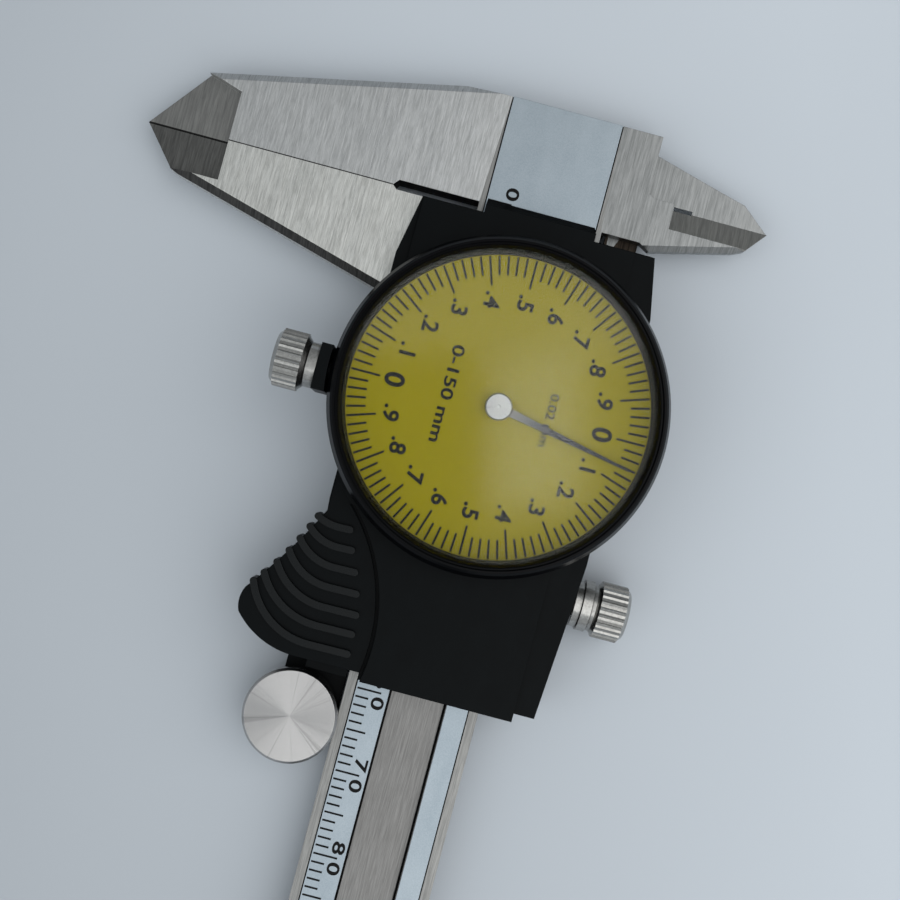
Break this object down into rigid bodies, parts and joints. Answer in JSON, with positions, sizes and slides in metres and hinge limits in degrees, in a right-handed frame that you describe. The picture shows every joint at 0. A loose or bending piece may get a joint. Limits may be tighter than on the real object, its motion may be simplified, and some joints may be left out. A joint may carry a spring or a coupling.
{
  "type": "dial caliper",
  "caption": "Dial caliper with stepped steel jaws, a sliding black cover with a turning yellow dial, a thumb rest, a thumb roller, a rack and gear train, and a depth rod.",
  "frame": {"origin": "on the slider's back face, in the plane where the outside jaws meet, halfway across the beam", "axes": "+X along the beam from the jaws to its far end, +Y towards the inside jaws, +Z out of the dial"},
  "size_m": [0.2359, 0.0756, 0.016],
  "materials": {
    "ground_steel": "ground and satin stainless steel",
    "rack_steel": "milled hardened steel",
    "spring_steel": "blued spring steel",
    "screw_steel": "plain steel screws",
    "bright_steel": "turned, knurled and polished",
    "gear_brass": "plain",
    "bronze": "plain",
    "black_moulding": "fine moulded grain",
    "black_gloss": "turned smooth",
    "dial_paint": "mustard paint",
    "clear_crystal": "clear",
    "needle_paint": "dark, satin"
  },
  "bodies": {
    "beam": {"beam": "ground_steel", "rack": "rack_steel", "rack_screws": "screw_steel", "end_stop": "ground_steel", "end_stop_screws": "screw_steel"},
    "slider": {"slider": "ground_steel", "gib_strip": "bronze", "gib_screws": "screw_steel", "depth_rod": "ground_steel", "depth_rod_screws": "screw_steel", "cover": "black_moulding", "cover_screws": "screw_steel", "roller_bracket": "black_moulding", "bracket_screws": "screw_steel", "bezel_spring": "spring_steel", "clamp_shoe": "black_moulding", "movement_plate": "gear_brass", "plate_screws": "screw_steel", "movement_pillars": "gear_brass", "movement_bridge": "gear_brass", "bridge_screws": "screw_steel", "arbor_bushes": "bronze"},
    "roller": {"thumb_roller": "bright_steel", "roller_clip": "spring_steel"},
    "pinion": {"pinion_arbor": "rack_steel", "drive_gear": "gear_brass", "backlash_gear": "gear_brass", "backlash_spring": "spring_steel"},
    "pointer": {"centre_arbor": "rack_steel", "needle": "needle_paint", "needle_hub": "bright_steel"},
    "bezel": {"bezel": "black_gloss", "dial_plate": "dial_paint", "crystal": "clear_crystal"},
    "lock_screw": {"lock_screw": "bright_steel"},
    "clamp_screw": {"clamp_screw": "bright_steel"}
  },
  "joints": [
    {"name": "slider_slide", "type": "slide", "parent": "beam", "child": "slider", "axis": [1, 0, 0], "range_m": [0, 0.15]},
    {"name": "roller_spin", "type": "hinge", "parent": "slider", "child": "roller", "pos_m": [0.06385, -0.0134, 0], "axis": [0, 0, 1], "continuous": true},
    {"name": "pinion_spin", "type": "hinge", "parent": "slider", "child": "pinion", "pos_m": [0.02998, 0.00283, 0], "axis": [0, 0, 1], "continuous": true},
    {"name": "pointer_spin", "type": "hinge", "parent": "slider", "child": "pointer", "pos_m": [0.0231, 0.00067, 0], "axis": [0, 0, 1], "continuous": true},
    {"name": "bezel_turn", "type": "hinge", "parent": "slider", "child": "bezel", "pos_m": [0.0231, 0.00067, 0], "axis": [0, 0, 1], "continuous": true},
    {"name": "lock_screw_turn", "type": "hinge", "parent": "slider", "child": "lock_screw", "pos_m": [0.04275, 0, 0.0037], "axis": [0, 1, 0], "range_deg": [0, 360]},
    {"name": "clamp_screw_turn", "type": "hinge", "parent": "slider", "child": "clamp_screw", "pos_m": [0.0239, 0, 0.0123], "axis": [0, -1, 0], "range_deg": [0, 360]}
  ],
  "couplings": [
    {"joint": "roller_spin", "follows": "slider_slide", "rad_per_m": 185.19},
    {"joint": "pinion_spin", "follows": "slider_slide", "rad_per_m": 628.32},
    {"joint": "pointer_spin", "follows": "slider_slide", "rad_per_m": -3141.6}
  ]
}
